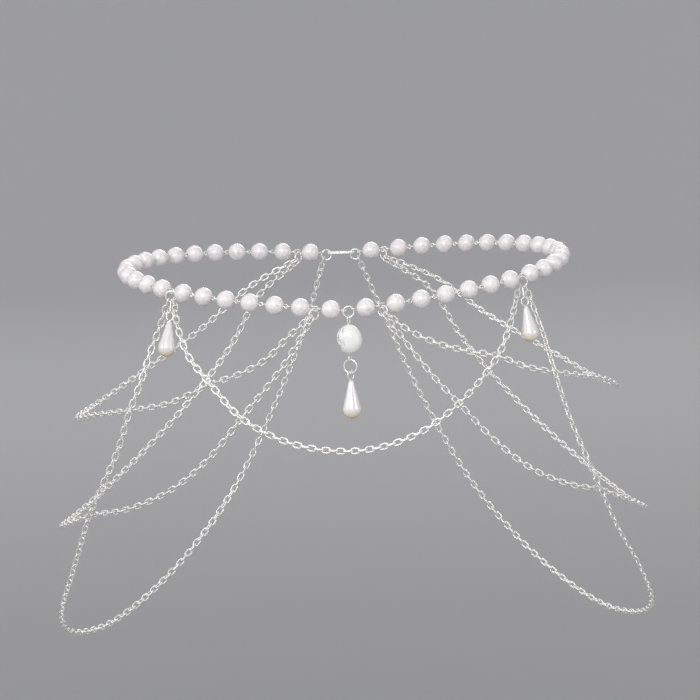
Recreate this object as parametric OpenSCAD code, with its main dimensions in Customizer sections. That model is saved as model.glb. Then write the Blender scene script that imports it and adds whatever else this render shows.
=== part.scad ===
// Waist chain: a string of drilled pearls on eye pins, with jump rings that carry
// draped side chains, a front swag, a centre pendant and two side drops.
// Millimetres, +Z up, the front faces -Y. The origin is on the upright axis of the
// waist hollow, level with the front of the pearl string.

/* [Pearl string] */
// Diameter of a pearl
pearl_d = 10; // [9:0.25:11]
// Diameter of the hole through a pearl
pearl_bore = 1; // [0.8:0.05:1.4]
// Wire of the eye pins
pin_wire = 0.6; // [0.5:0.05:0.65]
// Outer diameter of an eye pin's round loop
loop_d = 2.5; // [2.4:0.05:2.8]
// Length of the long loop that a turned ring hangs on
hook_loop_l = 4.8; // [4.7:0.1:5.4]
// Height of the long loop that a turned ring hangs on
hook_loop_h = 3; // [2.9:0.1:3.4]
// Length of the flat loops that hold the centre ring and the end rings
ring_loop_l = 3; // [2.9:0.1:4]
// Width of the flat loops that hold the centre ring and the end rings
ring_loop_w = 2.7; // [2.6:0.1:3.2]
// Pearls on each side between the front ring and the side ring
front_pearls = 6; // [5:1:7]
// Pearls on each side between the side ring and the back ring
back_pearls = 15; // [13:1:17]
// How far the string has slipped round to the right
string_slip = 1.5; // [-4:0.5:4]

/* [Worn shape] */
// Depth of the string's loop as a share of its width
depth_share = 0.785; // [0.7:0.005:0.9]
// Rise of the string from front to back as a share of its half width
tilt_share = 0.068; // [0:0.004:0.1]
// Rise of the string over the sides as a share of its half width
bow_share = 0.087; // [0:0.003:0.12]
// Flare of the drape at the sides, below the string
side_flare = 47; // [35:1:60]
// Flare of the drape at the front
front_flare = 5; // [0:1:12]
// Flare of the drape at the back
back_flare = 34; // [20:1:45]
// Height over which the drape flares
drape_drop = 190; // [160:5:220]

/* [Jump rings] */
// Outer diameter of a jump ring
ring_d = 6.6; // [6.4:0.1:7.4]
// Wire of the jump rings
ring_wire = 0.9; // [0.7:0.05:0.95]
// How far the centre ring and the end rings hang below the string
ring_drop = 1.1; // [0.8:0.1:1.4]
// Turn of the other rings out of the string's own plane, in degrees
ring_turn = 44; // [40:1:50]

/* [Chains] */
// Length of a chain link
link_l = 5.6; // [5.2:0.1:6.4]
// Width of a chain link
link_w = 3.8; // [3.6:0.1:4.2]
// Wire of a chain link
link_wire = 0.8; // [0.6:0.05:0.85]
// Diameter of the plain strand of a side chain
strand_d = 3.2; // [2.6:0.1:3.4]
// Diameter of a strand where it starts behind its end link
strand_tip_d = 1.4; // [1:0.1:2]

/* [Centre pendant] */
// Width of the oval bead
oval_w = 13.5; // [12:0.25:15]
// Height of the oval bead
oval_h = 15.8; // [14:0.2:18]
// Thickness of the oval bead
oval_t = 10; // [8:0.25:11]
// Wire of the oval bead's pin
oval_wire = 0.7; // [0.6:0.05:0.75]
// Height of the pin's upper loop
oval_top_loop_h = 5; // [4.6:0.1:6]
// Height of the pin's lower loop
oval_low_loop_h = 4; // [3.6:0.1:5]
// Width of both loops of the pin
oval_loop_w = 3.4; // [3.3:0.1:4]
// Outer diameter of the ring above the drop
drop_ring_d = 8; // [7.4:0.1:9]
// Diameter of the pendant's drop
drop_d = 9.9; // [9:0.1:11]
// Length of the pendant's drop
drop_l = 20.2; // [18:0.2:23]

/* [Side drops] */
// Diameter of a side drop
side_drop_d = 9.4; // [8.5:0.1:10.5]
// Length of a side drop
side_drop_l = 19; // [17:0.25:22]
// Length of the link that carries a side drop
side_link_l = 8.4; // [7.6:0.1:9.2]
// Outward lean of a side drop, in degrees
side_drop_lean = 11; // [6:1:16]

/* [Drop eyes] */
// Wire of a drop's eye
eye_wire = 0.8; // [0.6:0.05:0.85]
// Width of a drop's eye
eye_w = 4.4; // [4.2:0.1:5]
// Height of a drop's eye
eye_h = 5.2; // [5:0.1:6]
// Diameter of a drop at its tip
tip_d = 2.4; // [2.2:0.1:3]
// Depth that an eye's peg goes into its drop
peg_l = 3; // [2:0.25:5]

/* [Clasp] */
// Length of the clasp
clasp_l = 16; // [14:0.5:20]
// Width of the clasp
clasp_w = 6.4; // [5.8:0.2:8]
// Thickness of the clasp's bar
clasp_wire = 1.5; // [1.2:0.1:1.6]

/* [Clearances] */
// Clear gap between links that hold each other
link_gap = 0.12; // [0.1:0.01:0.2]
// Clear gap between a jump ring and the wires that it holds
ring_gap = 0.3; // [0.28:0.01:0.34]
// Clear gap between a pearl and the loop beside it
bead_gap = 0.1; // [0.1:0.05:0.3]
// Clear gap round a peg or pin in its hole
fit_gap = 0.1; // [0.1:0.05:0.2]

/* [Hidden] */

$fn = 48;
UP = [0, 0, 1];
LEFT = -1;
RIGHT = 1;
PEARL = "#f1ecf0";
SILVER = "#d9d9dc";

// Routes of the chains from ring to ring, chosen by hand. Each row is a point on
// the drape: [angle round the body from the front in degrees, depth below the
// string as a share of drape_drop, distance out from the drape in link widths].
LOW = 0.56;
OVER = 1.6;
SWAG_ROUTE = [[-44.5, 0.085, 1.55], [-38.5, 0.165, OVER], [-31.5, 0.23, OVER],
    [-23.2, 0.315, OVER], [-14.5, 0.37, 0.9], [-4, 0.394, LOW], [4, 0.394, LOW],
    [14.2, 0.366, 0.9], [23.8, 0.298, OVER], [30.2, 0.242, OVER],
    [36.4, 0.182, OVER], [42, 0.112, 1.55]];
UPPER_RIGHT = [[13.8, 0.066, 1.1], [20.5, 0.121, 0.8], [28, 0.161, LOW],
    [36.6, 0.195, LOW], [43, 0.236, LOW], [51, 0.269, LOW], [60, 0.298, LOW],
    [72, 0.333, LOW], [90, 0.39, LOW], [108, 0.4, LOW], [127, 0.33, LOW],
    [144, 0.215, LOW], [155, 0.105, 0.9]];
UPPER_LEFT = [[-14, 0.083, 1.1], [-19, 0.15, 0.8], [-25, 0.197, LOW],
    [-32, 0.234, LOW], [-42.5, 0.302, LOW], [-52.8, 0.335, LOW], [-68, 0.374, LOW],
    [-89, 0.423, LOW], [-108, 0.42, LOW], [-127, 0.345, LOW], [-144, 0.22, LOW],
    [-155, 0.105, 0.9]];
LOWER_RIGHT = [[12.2, 0.075, 1.1], [15.4, 0.138, 0.7], [19.8, 0.226, LOW],
    [24, 0.3, LOW], [30.2, 0.41, LOW], [38.2, 0.514, LOW], [48.8, 0.588, LOW],
    [56.6, 0.618, LOW], [66, 0.664, LOW], [88, 0.744, LOW], [106, 0.755, LOW],
    [124, 0.67, LOW], [140, 0.5, LOW], [152, 0.29, LOW], [158, 0.13, 0.9]];
LOWER_LEFT = [[-11, 0.083, 1.1], [-14.6, 0.16, 0.7], [-18.5, 0.231, LOW],
    [-23.4, 0.317, LOW], [-30, 0.437, LOW], [-38.8, 0.541, LOW],
    [-50.7, 0.614, LOW], [-61.5, 0.647, LOW], [-72, 0.688, LOW],
    [-87, 0.734, LOW], [-106, 0.74, LOW], [-124, 0.655, LOW], [-140, 0.49, LOW],
    [-152, 0.285, LOW], [-158, 0.13, 0.9]];
LONG_RIGHT = [[53.4, 0.1, 0.5], [53, 0.17, 0.5], [50.6, 0.25, OVER],
    [50.5, 0.29, OVER], [51.3, 0.39, 1.3], [53.6, 0.53, OVER], [56, 0.618, OVER],
    [61.5, 0.744, 1], [70.4, 0.86, LOW], [82, 0.985, LOW], [100, 1.08, LOW],
    [120, 1.1, LOW], [138, 0.99, LOW], [153, 0.77, LOW], [164, 0.46, LOW],
    [171, 0.19, 0.9]];
LONG_LEFT = [[-52, 0.1, 0.5], [-52.5, 0.17, 0.5], [-51.6, 0.25, 1.3],
    [-52.5, 0.333, OVER], [-54.6, 0.455, 1.3], [-57.6, 0.556, OVER],
    [-61.3, 0.645, OVER], [-65, 0.73, 1.1], [-71, 0.83, LOW], [-82, 0.965, LOW],
    [-100, 1.075, LOW], [-120, 1.1, LOW], [-138, 0.99, LOW], [-153, 0.77, LOW],
    [-164, 0.46, LOW], [-171, 0.19, 0.9]];

// Where chains and drops hold their rings: degrees from the ring's lowest point
// towards its outer side.
FRONT_UPPER_SEAT = 62;
FRONT_LOWER_SEAT = 28;
SIDE_SWAG_SEAT = -38;
SIDE_LONG_SEAT = 38;
BACK_UPPER_SEAT = -62;
BACK_LOWER_SEAT = -28;
END_SEAT = -40;

// Turns about the upright, in degrees
OVAL_LOOP_TURN = -28;
DROP_RING_TURN = -20;
EYE_TURN = 32;
RING_LOOP_ROLL = 20;

FLARE_POWER = 2.25;
DRAPE_GAP = 0.3;
// A straight shank is a little thinner than the loops that it joins
SHANK_SHARE = 0.95;
DROP_ARC_STEPS = 16;
ROUTE_STEP = 2;
STRAND_SIDES = 8;
STRAND_RING_STEP = 9;
STRAND_TAPER = 14;
TURN_LENGTH = 16;

// Small vector helpers

function unit(v) = v / norm(v);
function flat(v) = unit([v.x, v.y, 0]);
function mix(a, b, t) = a + (b - a) * t;
function smooth(t) = let (c = min(max(t, 0), 1)) c * c * (3 - 2 * c);
function turned(v, a) = [v.x * cos(a) - v.y * sin(a), v.x * sin(a) + v.y * cos(a), v.z];
// Right-handed frame at o that keeps x and squares y up to it
function frame(o, x, y) =
    let (X = unit(x), Z = unit(cross(X, y)), Y = cross(Z, X))
    [[X.x, Y.x, Z.x, o.x], [X.y, Y.y, Z.y, o.y], [X.z, Y.z, Z.z, o.z], [0, 0, 0, 1]];

// Reach of each kind of loop from its pearl's centre to the joint

ring_r = (ring_d - ring_wire) / 2;
drop_ring_r = (drop_ring_d - ring_wire) / 2;
// Half distance between the two places where a string ring crosses the string
ring_cross = sqrt(ring_r * ring_r - ring_drop * ring_drop);
ring_slant = ring_r / ring_cross;
pearl_face = pearl_d / 2 + bead_gap;
loop_hold = (pin_wire + link_gap) / 2;
reach_loop = pearl_face + loop_d - pin_wire / 2 - loop_hold;
reach_hook = pearl_face + hook_loop_l - pin_wire / 2 - loop_hold;
reach_ring = pearl_face + ring_loop_l - pin_wire / 2
    - ((ring_wire + pin_wire) / 2 + ring_gap) * ring_slant;
// Distance from a pearl's centre to the ring that hangs on its long loop
hook_seat = pearl_face + pin_wire + (hook_loop_l - 3 * pin_wire - link_gap) / 2;

// Pearls of one side, counted from the front: 1 stands beside the centre ring

side_pearls = front_pearls + back_pearls + 2;
FRONT_HOOK = 2;
side_hook = FRONT_HOOK + front_pearls;
back_hook = side_pearls;
function has_hook(k) = k == FRONT_HOOK || k == side_hook || k == back_hook;
function reach_in(k) = k == 1 ? reach_ring : has_hook(k) ? reach_hook : reach_loop;
function reach_out(k) = k == side_pearls ? reach_ring : reach_loop;
// Distance along the string from the front to the joint behind each pearl
joint_at = [for (k = 0, s = ring_cross; k <= side_pearls;
    k = k + 1, s = s + (k > side_pearls ? 0 : reach_in(k) + reach_out(k))) s];
clasp_bar = (clasp_l - clasp_wire) / 2;
half_length = joint_at[side_pearls] + 2 * ring_cross
    - ((ring_wire + clasp_wire) / 2 + ring_gap) * ring_slant + clasp_bar;

// The string's closed curve, for a half width of 1

function unit_string(a) = [sin(a), -depth_share * cos(a),
    tilt_share * (1 - cos(a)) + bow_share * abs(sin(a))];
ANGLE_STEP = 2;
// Rows [distance from the front, angle], round to the middle of the back
unit_run = [for (a = 0, s = 0; a <= 180;
    s = s + norm(unit_string(a + ANGLE_STEP) - unit_string(a)), a = a + ANGLE_STEP) [s, a]];
unit_half = unit_run[len(unit_run) - 1][0];
string_w = half_length / unit_half;
function angle_at(s) = s < 0 ? -angle_at(-s)
    : s > half_length ? 360 - angle_at(2 * half_length - s)
    : lookup(s / string_w, unit_run);
function string_point(s) = string_w * unit_string(angle_at(s + string_slip));
function outward(p) = unit([p.x, p.y / (depth_share * depth_share), 0]);

// The drape: the surface that the chains lie on, measured down from the string

drape_inset = pearl_d / 2 + DRAPE_GAP;
function flare(d) = 1 - pow(1 - min(max(d, 0), 1), FLARE_POWER);
function drape_point(row) =
    let (a = row[0], f = flare(row[1]),
        w = string_w - drape_inset + side_flare * f,
        mid_flare = (front_flare + back_flare) / 2,
        d = string_w * depth_share - drape_inset
            + f * mix(mid_flare, front_flare, cos(a)),
        z = string_w * unit_string(a).z - row[1] * drape_drop,
        n = unit([sin(a) / w, -cos(a) / d, 0]))
    [w * sin(a), -d * cos(a), z] + n * row[2] * link_w;

// Frames of the pearls and rings

function joint(side, k) = string_point(side * joint_at[k]);
function pearl_axis(side, k) = unit(joint(side, k) - joint(side, k - 1));
function pearl_center(side, k) = joint(side, k - 1) + reach_in(k) * pearl_axis(side, k);
function pearl_frame(side, k) = let (x = pearl_axis(side, k))
    frame(pearl_center(side, k), x, cross(UP, x));

// A ring is [centre, its level direction towards the outer side, its radius]
function ring_between(a, b) =
    [(a + b) / 2 - ring_drop * UP, flat(b - a), ring_r];
function ring_on_hook(side, k) =
    let (a = pearl_axis(side, k), seat = pearl_center(side, k) - hook_seat * a,
        sink = (hook_loop_h - 2 * pin_wire - ring_wire) / 2 - ring_gap)
    [seat - (ring_r + sink) * UP, turned(flat(a), -side * ring_turn), ring_r];
center_ring_place = ring_between(string_point(-ring_cross), string_point(ring_cross));
function front_ring_place(side) = ring_on_hook(side, FRONT_HOOK);
function side_ring_place(side) = ring_on_hook(side, side_hook);
function back_ring_place(side) = ring_on_hook(side, back_hook);
function end_ring_place(side) = ring_between(joint(side, side_pearls),
    string_point(side * (joint_at[side_pearls] + 2 * ring_cross)));
// Middle of a ring's wire at an angle from its lowest point, and the wire's direction
function ring_seat(ring, a) = ring[0] + ring[2] * (sin(a) * ring[1] - cos(a) * UP);
function ring_run(ring, a) = cos(a) * ring[1] + sin(a) * UP;

// Smooth curve through points, sampled, as rows [distance, point]

function slope(p, i) =
    i == 0 ? unit(p[1] - p[0])
    : i == len(p) - 1 ? unit(p[i] - p[i - 1])
    : let (a = norm(p[i] - p[i - 1]), b = norm(p[i + 1] - p[i]))
        (b * (p[i] - p[i - 1]) / a + a * (p[i + 1] - p[i]) / b) / (a + b);
function arc(p, i, u) =
    let (h = norm(p[i + 1] - p[i]), v = 1 - u)
    (1 + 2 * u) * v * v * p[i] + u * u * (3 - 2 * u) * p[i + 1]
        + h * u * v * (v * slope(p, i) - u * slope(p, i + 1));
function samples(p) = concat([for (i = [0 : len(p) - 2])
    let (n = ceil(norm(p[i + 1] - p[i]) / ROUTE_STEP))
    for (j = [0 : n - 1]) arc(p, i, j / n)], [p[len(p) - 1]]);
function with_distance(q) = [for (i = 0, s = 0; i < len(q);
    s = s + (i + 1 < len(q) ? norm(q[i + 1] - q[i]) : 0), i = i + 1) [s, q[i]]];
// The same curve as three lookup tables, for x, y and z
function tables(run) = [for (c = [0 : 2]) [for (r = run) [r[0], r[1][c]]]];
function at(tab, s) = [lookup(s, tab[0]), lookup(s, tab[1]), lookup(s, tab[2])];
function run_length(tab) = tab[0][len(tab[0]) - 1][0];
function run_direction(tab, s) = let (h = ROUTE_STEP / 2)
    unit(at(tab, s + h) - at(tab, s - h));

// Distance from a ring's wire to the centre of the link that holds it
link_half = (link_l - link_wire) / 2;
link_start = link_half - (ring_wire + link_wire) / 2 - ring_gap;
link_pitch_max = link_l - 2 * link_wire - link_gap;

// A chain is [tables of its curve, wire direction at its first ring, and at its last]
function chain(ring_a, seat_a, rows, ring_b, seat_b) =
    [tables(with_distance(samples(concat([ring_seat(ring_a, seat_a)],
        [for (r = rows) drape_point(r)], [ring_seat(ring_b, seat_b)])))),
        ring_run(ring_a, seat_a), ring_run(ring_b, seat_b)];
swag = chain(side_ring_place(LEFT), SIDE_SWAG_SEAT, SWAG_ROUTE,
    side_ring_place(RIGHT), SIDE_SWAG_SEAT);
function upper(side, rows) = chain(front_ring_place(side), FRONT_UPPER_SEAT, rows,
    back_ring_place(side), BACK_UPPER_SEAT);
function lower(side, rows) = chain(front_ring_place(side), FRONT_LOWER_SEAT, rows,
    back_ring_place(side), BACK_LOWER_SEAT);
function long(side, rows) = chain(side_ring_place(side), SIDE_LONG_SEAT, rows,
    end_ring_place(side), END_SEAT);

// Wire shapes, lying in the XZ plane about the origin

module wire_ring(d, wire)
    rotate([90, 0, 0]) rotate_extrude() translate([(d - wire) / 2, 0]) circle(d = wire);

// A loop with straight sides, l long along X and w wide along Z
module wire_loop(l, w, wire) {
    half = (l - w) / 2;
    bend = (w - wire) / 2;
    if (half <= 0) wire_ring(w, wire);
    else rotate([90, 0, 0]) union() {
        for (a = [0, 180]) rotate(a) translate([half, 0, 0]) rotate(-90)
            rotate_extrude(angle = 180) translate([bend, 0]) circle(d = wire);
        for (y = [-bend, bend]) translate([-half, y, 0])
            rotate([0, 90, 0]) cylinder(d = wire, h = 2 * half);
    }
}

module bar_x(x0, x1, d) translate([x0, 0, 0]) rotate([0, 90, 0]) cylinder(d = d, h = x1 - x0);

module ring_at(ring, d) color(SILVER)
    multmatrix(frame(ring[0], ring[1], cross(UP, ring[1]))) wire_ring(d, ring_wire);

// The pearl string

module pearls() color(PEARL)
    for (side = [LEFT, RIGHT], k = [1 : side_pearls])
        multmatrix(pearl_frame(side, k)) difference() {
            sphere(d = pearl_d);
            bar_x(-pearl_d, pearl_d, pearl_bore);
        }

// A pin's loop beyond the pearl's face towards +X, its base at the face
module pin_loop(l, w, roll) rotate([roll, 0, 0])
    translate([pearl_face + l / 2, 0, 0]) wire_loop(l, w, pin_wire);

module eye_pins() color(SILVER) {
    for (side = [LEFT, RIGHT], k = [1 : side_pearls])
        multmatrix(pearl_frame(side, k)) {
            bar_x(-pearl_face - pin_wire / 2, pearl_face + pin_wire / 2, pin_wire * SHANK_SHARE);
            if (k == side_pearls) pin_loop(ring_loop_l, ring_loop_w, 90 - RING_LOOP_ROLL);
            else pin_loop(loop_d, loop_d, 90);
            mirror([1, 0, 0])
                if (k == 1) pin_loop(ring_loop_l, ring_loop_w, 90 - RING_LOOP_ROLL);
                else if (has_hook(k)) pin_loop(hook_loop_l, hook_loop_h, 0);
                else pin_loop(loop_d, loop_d, 0);
        }
}

// Jump rings

module center_ring() ring_at(center_ring_place, ring_d);
module front_ring_left() ring_at(front_ring_place(LEFT), ring_d);
module front_ring_right() ring_at(front_ring_place(RIGHT), ring_d);
module side_ring_left() ring_at(side_ring_place(LEFT), ring_d);
module side_ring_right() ring_at(side_ring_place(RIGHT), ring_d);
module back_ring_left() ring_at(back_ring_place(LEFT), ring_d);
module back_ring_right() ring_at(back_ring_place(RIGHT), ring_d);
module end_ring_left() ring_at(end_ring_place(LEFT), ring_d);
module end_ring_right() ring_at(end_ring_place(RIGHT), ring_d);

// The clasp lies flat across the two end rings at the middle of the back
module clasp() color(SILVER) {
    a = string_point(half_length - clasp_bar);
    b = string_point(clasp_bar - half_length);
    multmatrix(frame((a + b) / 2, b - a, UP)) wire_loop(clasp_l, clasp_w, clasp_wire);
}

// Chains

// One link centred on a curve at distance s, its plane square to the direction n
module link_at(tab, s, n) multmatrix(frame(at(tab, s), run_direction(tab, s), n))
    wire_loop(link_l, link_w, link_wire);

// A whole chain of links, each turned a quarter from the last. The first and the
// last stand square to the wire of their rings.
module link_chain(c) color(SILVER) {
    tab = c[0];
    l = run_length(tab);
    steps = ceil((l - 2 * link_start) / link_pitch_max);
    for (i = [0 : steps])
        let (s = link_start + i * (l - 2 * link_start) / steps,
            t = run_direction(tab, s),
            across = cross(outward(at(tab, s)), t),
            first = c[1] * sign(c[1] * across),
            last = steps % 2 == 0 ? c[2] : cross(c[2], t),
            last_n = last * sign(last * across),
            n = mix(mix(unit(first), across, smooth(s / TURN_LENGTH)), unit(last_n),
                smooth(1 - (l - s) / TURN_LENGTH)))
        link_at(tab, s, i % 2 == 0 ? n : cross(t, n));
}

// The plain strand of a side chain, swept along its curve, with an end link at each ring
module strand(c) color(SILVER) {
    tab = c[0];
    l = run_length(tab);
    link_at(tab, link_start, c[1]);
    link_at(tab, l - link_start, c[2]);
    s0 = link_start + link_l / 2 + 2 * link_gap;
    rings = ceil((l - 2 * s0) / STRAND_RING_STEP);
    points = [for (i = [0 : rings])
        let (s = mix(s0, l - s0, i / rings),
            t = run_direction(tab, s),
            u = unit(cross(t, outward(at(tab, s)))),
            v = cross(u, t),
            r = mix(strand_tip_d, strand_d,
                min(smooth((s - s0) / STRAND_TAPER), smooth((l - s0 - s) / STRAND_TAPER))) / 2)
        for (j = [0 : STRAND_SIDES - 1]) let (a = 360 * j / STRAND_SIDES)
            at(tab, s) + r * (cos(a) * u + sin(a) * v)];
    walls = [for (i = [0 : rings - 1], j = [0 : STRAND_SIDES - 1])
        let (k = (j + 1) % STRAND_SIDES, a = i * STRAND_SIDES, b = a + STRAND_SIDES)
        each [[a + j, a + k, b + k], [a + j, b + k, b + j]]];
    caps = [[for (j = [STRAND_SIDES - 1 : -1 : 0]) j],
        [for (j = [0 : STRAND_SIDES - 1]) rings * STRAND_SIDES + j]];
    polyhedron(points, concat(walls, caps));
}

module swag_chain() link_chain(swag);
module upper_chain_left() strand(upper(LEFT, UPPER_LEFT));
module upper_chain_right() strand(upper(RIGHT, UPPER_RIGHT));
module lower_chain_left() strand(lower(LEFT, LOWER_LEFT));
module lower_chain_right() strand(lower(RIGHT, LOWER_RIGHT));
module long_chain_left() strand(long(LEFT, LONG_LEFT));
module long_chain_right() strand(long(RIGHT, LONG_RIGHT));

// Drops. A drop hangs from the origin along -Z.

module drop_body(d, l) {
    r = d / 2;
    reach = l - r;
    tip = tip_d / 2;
    lean = atan2(reach, tip) - acos(r / norm([tip, reach]));
    outline = concat([[0, 0], [tip, 0]],
        [for (a = [lean : -(lean + 90) / DROP_ARC_STEPS : -89]) [r * cos(a), r * sin(a) - reach]],
        [[0, -l]]);
    difference() {
        rotate_extrude() polygon(outline);
        translate([0, 0, -peg_l - fit_gap])
            cylinder(d = eye_wire + 2 * fit_gap, h = peg_l + 1);
    }
}

// The eye of a drop: an upright oval loop on a peg that ends in the drop
module drop_eye() {
    rotate([0, 90, 0]) wire_loop(eye_h, eye_w, eye_wire);
    translate([0, 0, -eye_h / 2 - bead_gap - peg_l])
        cylinder(d = eye_wire * SHANK_SHARE, h = peg_l + bead_gap + eye_wire / 2);
}

eye_to_drop = eye_h / 2 + bead_gap;
// Distance between the middles of two wires that hold each other
function hold(a, b) = (a + b) / 2 + link_gap;

// Centre pendant: heights below the wire of the centre ring

pendant_top = ring_seat(center_ring_place, 0);
oval_top_loop = (oval_top_loop_h - oval_wire) / 2 - hold(ring_wire, oval_wire);
oval_center = oval_top_loop + (oval_top_loop_h + oval_h) / 2 + bead_gap;
oval_low_loop = oval_center + (oval_h + oval_low_loop_h) / 2 + bead_gap;
drop_ring_top = oval_low_loop + (oval_low_loop_h - oval_wire) / 2
    - hold(ring_wire, oval_wire);
pendant_eye_center = drop_ring_top + 2 * drop_ring_r
    + (eye_h - eye_wire) / 2 - hold(ring_wire, eye_wire);

module in_pendant(depth, turn) translate(pendant_top - depth * UP) rotate(turn) children();

module oval_pin() color(SILVER) {
    shank = oval_h + 2 * bead_gap + oval_wire;
    for (loop = [[oval_top_loop, oval_top_loop_h], [oval_low_loop, oval_low_loop_h]])
        in_pendant(loop[0], OVAL_LOOP_TURN + 90) rotate([0, 90, 0])
            wire_loop(loop[1], oval_loop_w, oval_wire);
    in_pendant(oval_center + shank / 2, 0) cylinder(d = oval_wire * SHANK_SHARE, h = shank);
}

module oval_bead() color("#f4f2ee") in_pendant(oval_center, 0) difference() {
    scale([oval_w / oval_h, oval_t / oval_h, 1]) sphere(d = oval_h);
    translate([0, 0, -oval_h]) cylinder(d = oval_wire + 2 * fit_gap, h = 2 * oval_h);
}

module drop_ring() color(SILVER) in_pendant(drop_ring_top + drop_ring_r, DROP_RING_TURN)
    wire_ring(drop_ring_d, ring_wire);
module pendant_eye() color(SILVER) in_pendant(pendant_eye_center, EYE_TURN) drop_eye();
module pendant_drop() color(PEARL)
    in_pendant(pendant_eye_center + eye_to_drop, 0) drop_body(drop_d, drop_l);

// Side drops: each leans out along the drape below its side ring

function side_frame(side) = let (ring = side_ring_place(side), n = outward(ring[0]),
        up = cos(side_drop_lean) * UP - sin(side_drop_lean) * n,
        x = unit(cross(cross(up, ring[1]), up)), y = cross(up, x), o = ring_seat(ring, 0))
    [[x.x, y.x, up.x, o.x], [x.y, y.y, up.y, o.y], [x.z, y.z, up.z, o.z], [0, 0, 0, 1]];
side_link_center = (side_link_l - link_wire) / 2 - hold(ring_wire, link_wire);
side_eye_center = side_link_center + (side_link_l - link_wire + eye_h - eye_wire) / 2
    - hold(link_wire, eye_wire);

module in_side(side, depth) multmatrix(side_frame(side)) translate([0, 0, -depth]) children();
module side_link(side) color(SILVER) in_side(side, side_link_center)
    rotate([0, 90, 0]) rotate([90, 0, 0]) wire_loop(side_link_l, link_w, link_wire);
module side_eye(side) color(SILVER) in_side(side, side_eye_center) drop_eye();
module side_drop(side) color(PEARL) in_side(side, side_eye_center + eye_to_drop)
    drop_body(side_drop_d, side_drop_l);

module side_link_left() side_link(LEFT);
module side_link_right() side_link(RIGHT);
module side_eye_left() side_eye(LEFT);
module side_eye_right() side_eye(RIGHT);
module side_drop_left() side_drop(LEFT);
module side_drop_right() side_drop(RIGHT);

pearls();
eye_pins();
center_ring();
front_ring_left();
front_ring_right();
side_ring_left();
side_ring_right();
back_ring_left();
back_ring_right();
end_ring_left();
end_ring_right();
clasp();
swag_chain();
upper_chain_left();
upper_chain_right();
lower_chain_left();
lower_chain_right();
long_chain_left();
long_chain_right();
oval_pin();
oval_bead();
drop_ring();
pendant_eye();
pendant_drop();
side_link_left();
side_link_right();
side_eye_left();
side_eye_right();
side_drop_left();
side_drop_right();
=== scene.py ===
"""Looks of the waist chain: pearls on eye pins, draped link chains, a centre pendant and drops.

Metres, +Z up, the front faces -Y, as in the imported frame.
"""

import math
import random

import bpy
import numpy as np
from mathutils import Matrix, Vector


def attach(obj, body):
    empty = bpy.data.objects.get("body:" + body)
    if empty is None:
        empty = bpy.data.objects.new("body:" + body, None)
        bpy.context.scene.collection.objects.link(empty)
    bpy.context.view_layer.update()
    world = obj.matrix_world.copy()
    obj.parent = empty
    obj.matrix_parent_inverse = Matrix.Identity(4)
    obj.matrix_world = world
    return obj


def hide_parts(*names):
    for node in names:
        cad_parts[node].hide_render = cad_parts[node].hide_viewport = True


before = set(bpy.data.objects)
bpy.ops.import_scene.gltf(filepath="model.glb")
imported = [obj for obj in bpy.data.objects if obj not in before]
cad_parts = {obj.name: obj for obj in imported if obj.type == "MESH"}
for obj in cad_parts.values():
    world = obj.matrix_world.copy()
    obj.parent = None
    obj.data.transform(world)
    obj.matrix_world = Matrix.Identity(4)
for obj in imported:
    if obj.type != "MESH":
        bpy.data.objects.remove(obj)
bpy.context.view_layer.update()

MM = 0.001
LEFT, RIGHT = -1, 1
SIDE_NAMES = {LEFT: "left", RIGHT: "right"}
UP = np.array([0.0, 0.0, 1.0])

# Pearl string
PEARL_D = 10 * MM
PEARL_BORE = 1 * MM
PIN_WIRE = 0.6 * MM
LOOP_D = 2.5 * MM
HOOK_LOOP_L = 4.8 * MM
HOOK_LOOP_H = 3 * MM
RING_LOOP_L = 3 * MM
RING_LOOP_W = 2.7 * MM
RING_LOOP_ROLL = 20
FRONT_PEARLS = 6
BACK_PEARLS = 15
STRING_SLIP = 1.5 * MM

# Worn shape
DEPTH_SHARE = 0.785
TILT_SHARE = 0.068
BOW_SHARE = 0.087
SIDE_FLARE = 47 * MM
FRONT_FLARE = 5 * MM
BACK_FLARE = 34 * MM
FLARE_POWER = 2.25
DRAPE_DROP = 190 * MM
DRAPE_GAP = 0.3 * MM

# Jump rings
RING_D = 6.6 * MM
RING_WIRE = 0.9 * MM
RING_DROP = 1.1 * MM
RING_TURN = 44

# Chains
LINK_L = 5.6 * MM
LINK_W = 3.8 * MM
LINK_WIRE = 0.8 * MM

# Centre pendant
OVAL_W = 13.5 * MM
OVAL_H = 15.8 * MM
OVAL_T = 10 * MM
OVAL_WIRE = 0.7 * MM
OVAL_TOP_LOOP_H = 5 * MM
OVAL_LOW_LOOP_H = 4 * MM
OVAL_LOOP_W = 3.4 * MM
OVAL_LOOP_TURN = -28
DROP_RING_D = 8 * MM
DROP_RING_TURN = -20
DROP_D = 9.9 * MM
DROP_L = 20.2 * MM
EYE_TURN = 32

# Side drops
SIDE_DROP_D = 9.4 * MM
SIDE_DROP_L = 19 * MM
SIDE_LINK_L = 8.4 * MM
SIDE_DROP_LEAN = 11

# Drop eyes
EYE_WIRE = 0.8 * MM
EYE_W = 4.4 * MM
EYE_H = 5.2 * MM
TIP_D = 2.4 * MM
PEG_L = 3 * MM

# Clasp
CLASP_L = 16 * MM
CLASP_WIRE = 1.5 * MM

# Clearances
LINK_GAP = 0.12 * MM
RING_GAP = 0.3 * MM
BEAD_GAP = 0.1 * MM
FIT_GAP = 0.1 * MM

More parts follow.
